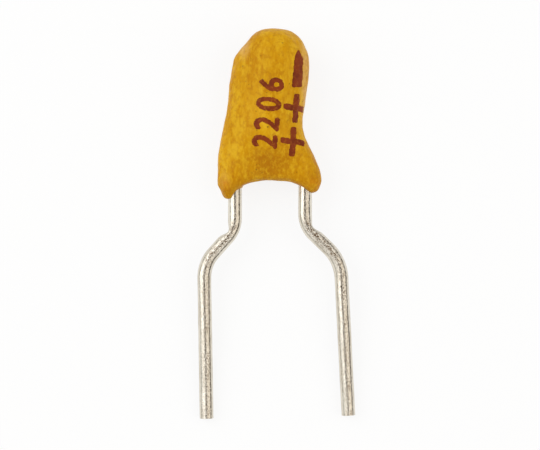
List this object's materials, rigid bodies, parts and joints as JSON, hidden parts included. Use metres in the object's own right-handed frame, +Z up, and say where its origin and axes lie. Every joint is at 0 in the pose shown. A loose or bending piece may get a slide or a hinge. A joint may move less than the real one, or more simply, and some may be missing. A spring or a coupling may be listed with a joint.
{
  "type": "tantalum bead capacitor",
  "caption": "Small resin-dipped bead capacitor with formed wire leads, laid on its back, for through-hole circuit boards.",
  "frame": {"origin": "middle of the whole part's footprint, on the surface it lies on", "axes": "+Z up, the way the marked face looks; +Y from the lead tips to the crown of the bead, along the part's length; +X across the leads, from the negative lead to the positive lead"},
  "size_m": [0.0056, 0.014, 0.0025],
  "materials": {
    "dipped_resin": "golden yellow filled epoxy, satin, softly mottled with orange peel",
    "tinned_wire": "tin-plated wire, dull bright, with marks of the forming tool",
    "sintered_tantalum": "pressed and sintered powder, dark matt grey",
    "tantalum_wire": "drawn wire, satin grey",
    "washer_ptfe": "translucent white",
    "manganese_dioxide": "brown-black, matt",
    "graphite": "black, matt",
    "silver_paint": "silver-loaded paint, matt light grey",
    "solder": "bright grey solder",
    "ink": "red-brown printing ink, thin and slightly uneven"
  },
  "bodies": {
    "root": {"resin_coat": "dipped_resin", "positive_lead": "tinned_wire", "negative_lead": "tinned_wire", "anode_slug": "sintered_tantalum", "anode_riser_wire": "tantalum_wire", "riser_washer": "washer_ptfe", "manganese_dioxide_layer": "manganese_dioxide", "graphite_layer": "graphite", "silver_layer": "silver_paint", "cathode_solder": "solder"}
  },
  "joints": []
}
